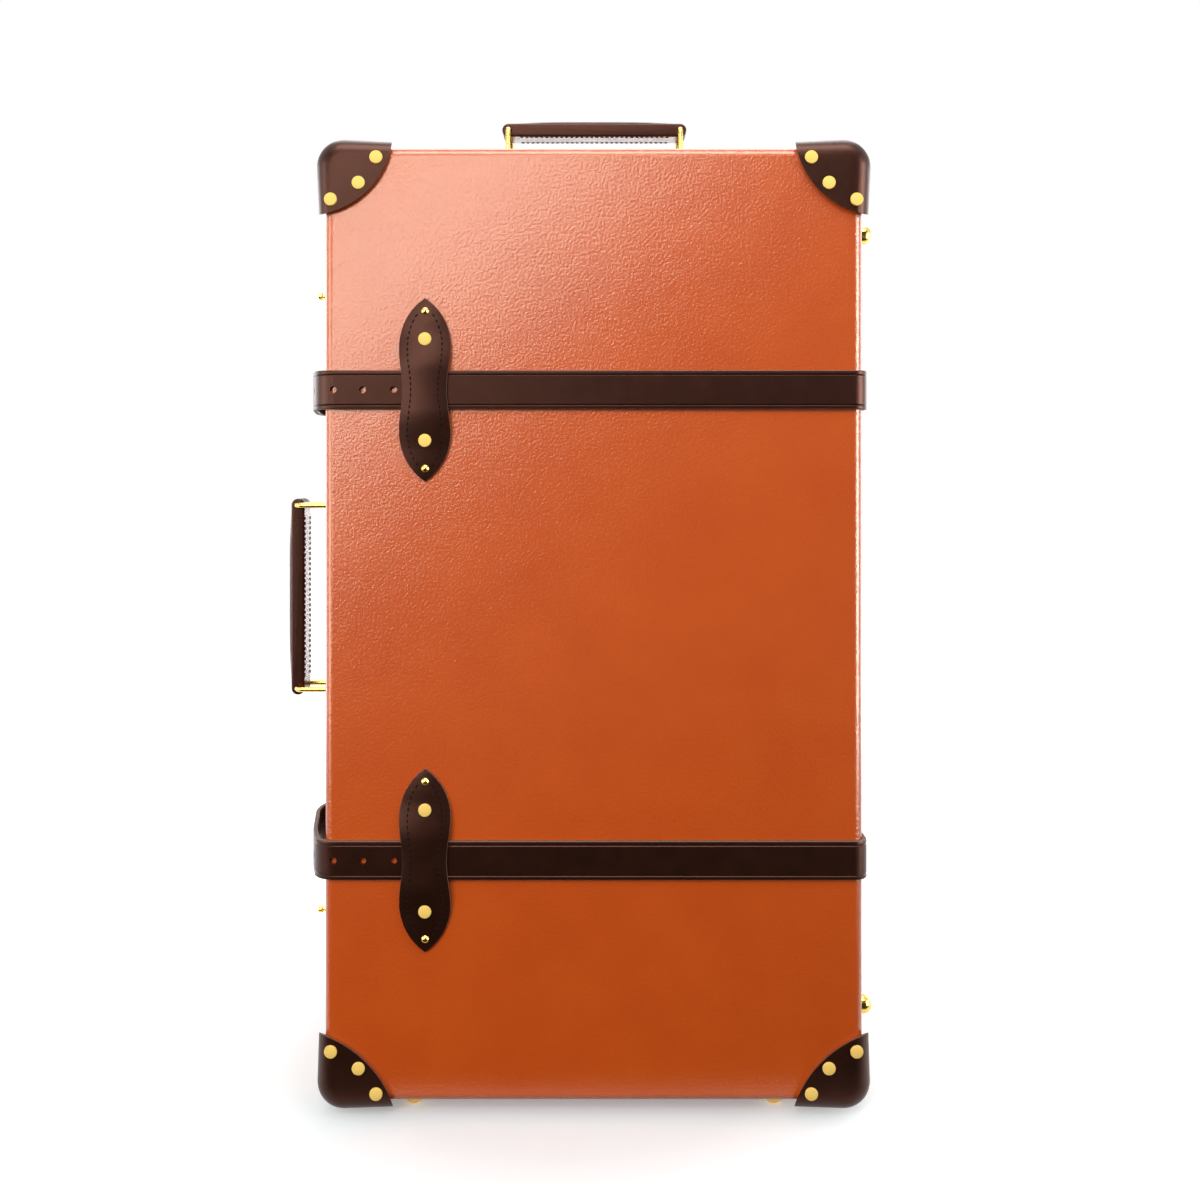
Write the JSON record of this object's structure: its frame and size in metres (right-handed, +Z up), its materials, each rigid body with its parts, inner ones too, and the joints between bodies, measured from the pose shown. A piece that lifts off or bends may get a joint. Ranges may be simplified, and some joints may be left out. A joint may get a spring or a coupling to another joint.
{
  "type": "suitcase",
  "caption": "Upright fibreboard suitcase with a hinged lid, leather straps and corner caps, brass buckles, locks and feet, and folding handles.",
  "frame": {"origin": "on the floor under the middle of the whole part's box, standing on its bottom feet", "axes": "+Z up along the case's long side; -Y towards the lid's face; -X towards the opening side with the locks and the side handle"},
  "size_m": [0.497, 0.2676, 0.8289],
  "materials": {
    "fibreboard": "orange vulcanised fibreboard with a fine pebble and a soft sheen",
    "leather": "dark brown vegetable-tanned leather, satin",
    "brass": "polished brass",
    "wood": "plain oiled pale wood",
    "lining": "plain woven cotton"
  },
  "bodies": {
    "base": {"base_shell": "fibreboard", "base_frame": "wood", "base_lining": "lining", "base_corner_bottom_left": "leather", "base_corner_top_left": "leather", "base_corner_bottom_right": "leather", "base_corner_top_right": "leather", "base_bottom_foot_left": "brass", "base_bottom_foot_right": "brass", "base_side_foot_upper": "brass", "base_side_foot_lower": "brass", "upper_hinge_base_leaf": "brass", "upper_hinge_pin": "brass", "upper_strap_back": "leather", "upper_buckle_frame": "brass", "upper_strap_loop": "leather", "upper_lock_body": "brass", "lower_hinge_base_leaf": "brass", "lower_hinge_pin": "brass", "lower_strap_back": "leather", "lower_buckle_frame": "brass", "lower_strap_loop": "leather", "lower_lock_body": "brass", "side_handle_first_plate": "brass", "side_handle_second_plate": "brass", "top_handle_first_plate": "brass", "top_handle_second_plate": "brass"},
    "lid": {"lid_shell": "fibreboard", "lid_frame": "wood", "lid_lining": "lining", "lid_corner_bottom_left": "leather", "lid_corner_top_left": "leather", "lid_corner_bottom_right": "leather", "lid_corner_top_right": "leather", "lid_bottom_foot_left": "brass", "lid_bottom_foot_right": "brass", "lid_side_foot_upper": "brass", "lid_side_foot_lower": "brass", "upper_hinge_lid_leaf": "brass", "upper_strap_front": "leather", "upper_strap_tongue": "leather", "upper_keeper_tab": "leather", "upper_hasp_plate": "brass", "lower_hinge_lid_leaf": "brass", "lower_strap_front": "leather", "lower_strap_tongue": "leather", "lower_keeper_tab": "leather", "lower_hasp_plate": "brass"},
    "side_handle_first_ring": {"side_handle_first_ring": "brass"},
    "side_handle_second_ring": {"side_handle_second_ring": "brass"},
    "side_handle_grip": {"side_handle_grip": "leather"},
    "top_handle_first_ring": {"top_handle_first_ring": "brass"},
    "top_handle_second_ring": {"top_handle_second_ring": "brass"},
    "top_handle_grip": {"top_handle_grip": "leather"},
    "upper_prong": {"upper_buckle_prong": "brass"},
    "upper_knob": {"upper_lock_knob": "brass"},
    "upper_hasp": {"upper_hasp": "brass"},
    "lower_prong": {"lower_buckle_prong": "brass"},
    "lower_knob": {"lower_lock_knob": "brass"},
    "lower_hasp": {"lower_hasp": "brass"}
  },
  "joints": [
    {"name": "lid_hinge", "type": "hinge", "parent": "base", "child": "lid", "pos_m": [0.23988, -0.04655, 0.394], "axis": [0, 0, 1], "range_deg": [0, 105], "deforming": ["upper_strap_tongue", "lower_strap_tongue"]},
    {"name": "side_handle_first_ring_hinge", "type": "hinge", "parent": "base", "child": "side_handle_first_ring", "pos_m": [-0.19973, -0.01455, 0.3267], "axis": [0, 1, 0], "range_deg": [-70, 70]},
    {"name": "side_handle_second_ring_hinge", "type": "hinge", "parent": "base", "child": "side_handle_second_ring", "pos_m": [-0.19973, -0.01455, 0.4867], "axis": [0, 1, 0], "range_deg": [-70, 70]},
    {"name": "side_handle_grip_hinge", "type": "hinge", "parent": "side_handle_first_ring", "child": "side_handle_grip", "pos_m": [-0.23873, -0.01455, 0.3267], "axis": [0, 1, 0], "range_deg": [-70, 70]},
    {"name": "top_handle_first_ring_hinge", "type": "hinge", "parent": "base", "child": "top_handle_first_ring", "pos_m": [-0.05552, 0.00145, 0.7802], "axis": [0, 1, 0], "range_deg": [-70, 70]},
    {"name": "top_handle_second_ring_hinge", "type": "hinge", "parent": "base", "child": "top_handle_second_ring", "pos_m": [0.09648, 0.00145, 0.7802], "axis": [0, 1, 0], "range_deg": [-70, 70]},
    {"name": "top_handle_grip_hinge", "type": "hinge", "parent": "top_handle_first_ring", "child": "top_handle_grip", "pos_m": [-0.05552, 0.00145, 0.8192], "axis": [0, 1, 0], "range_deg": [-70, 70]},
    {"name": "upper_prong_hinge", "type": "hinge", "parent": "base", "child": "upper_prong", "pos_m": [-0.20102, 0.05945, 0.581], "axis": [0, 0, -1], "range_deg": [0, 100]},
    {"name": "upper_knob_slide", "type": "slide", "parent": "base", "child": "upper_knob", "axis": [0, 0, 1], "range_m": [0, 0.012]},
    {"name": "upper_hasp_hinge", "type": "hinge", "parent": "lid", "child": "upper_hasp", "pos_m": [-0.20622, -0.05035, 0.675], "axis": [0, 0, 1], "range_deg": [0, 110]},
    {"name": "lower_prong_hinge", "type": "hinge", "parent": "base", "child": "lower_prong", "pos_m": [-0.20102, 0.05945, 0.207], "axis": [0, 0, -1], "range_deg": [0, 100]},
    {"name": "lower_knob_slide", "type": "slide", "parent": "base", "child": "lower_knob", "axis": [0, 0, 1], "range_m": [0, 0.012]},
    {"name": "lower_hasp_hinge", "type": "hinge", "parent": "lid", "child": "lower_hasp", "pos_m": [-0.20622, -0.05035, 0.141], "axis": [0, 0, 1], "range_deg": [0, 110]}
  ],
  "couplings": [
    {"joint": "side_handle_second_ring_hinge", "follows": "side_handle_first_ring_hinge", "ratio": 1},
    {"joint": "side_handle_grip_hinge", "follows": "side_handle_first_ring_hinge", "ratio": -1},
    {"joint": "top_handle_second_ring_hinge", "follows": "top_handle_first_ring_hinge", "ratio": 1},
    {"joint": "top_handle_grip_hinge", "follows": "top_handle_first_ring_hinge", "ratio": -1}
  ]
}
